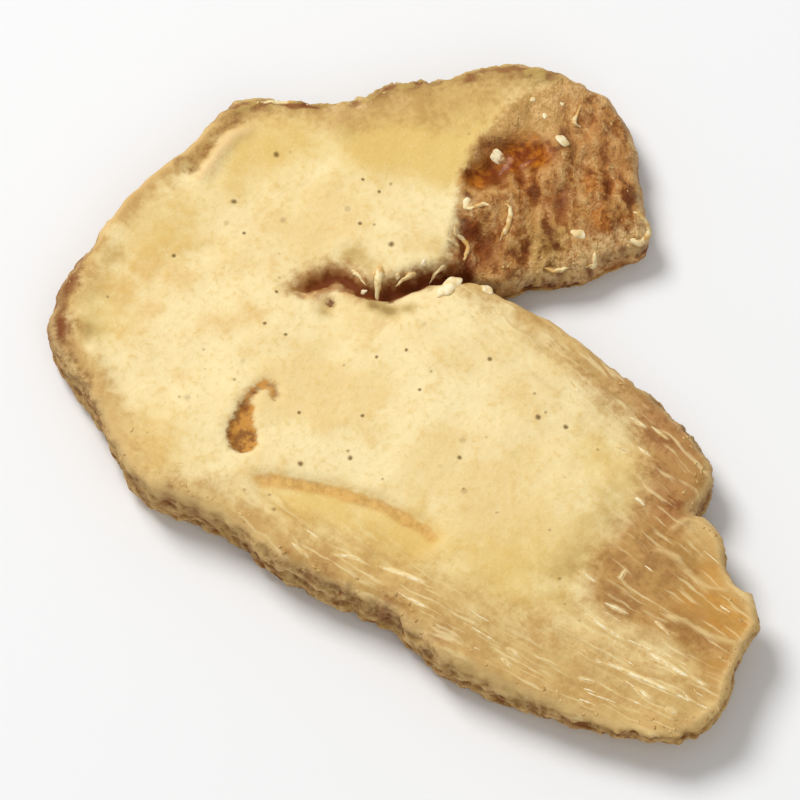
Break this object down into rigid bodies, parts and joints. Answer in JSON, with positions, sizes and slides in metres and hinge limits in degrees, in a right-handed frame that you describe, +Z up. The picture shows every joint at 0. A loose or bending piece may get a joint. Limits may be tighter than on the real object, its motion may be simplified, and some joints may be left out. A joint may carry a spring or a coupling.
{
  "type": "dried solomons seal root slice",
  "caption": "Flat lengthwise slice of dried rhizome: pale cut face, wrinkled brown rind, two lobes with an open notch, and a thin frayed end.",
  "frame": {"origin": "on the surface that the slice lies on, below the centre of its box", "axes": "+X along the slice towards its thin frayed end, +Y towards the knob of rind, +Z up, out of the cut face"},
  "size_m": [0.0622, 0.0488, 0.006],
  "materials": {
    "dried_root": "matte, fibrous, slightly waxy where the flesh has dried glassy"
  },
  "bodies": {
    "root": {"rhizome_slice": "dried_root"}
  },
  "joints": []
}
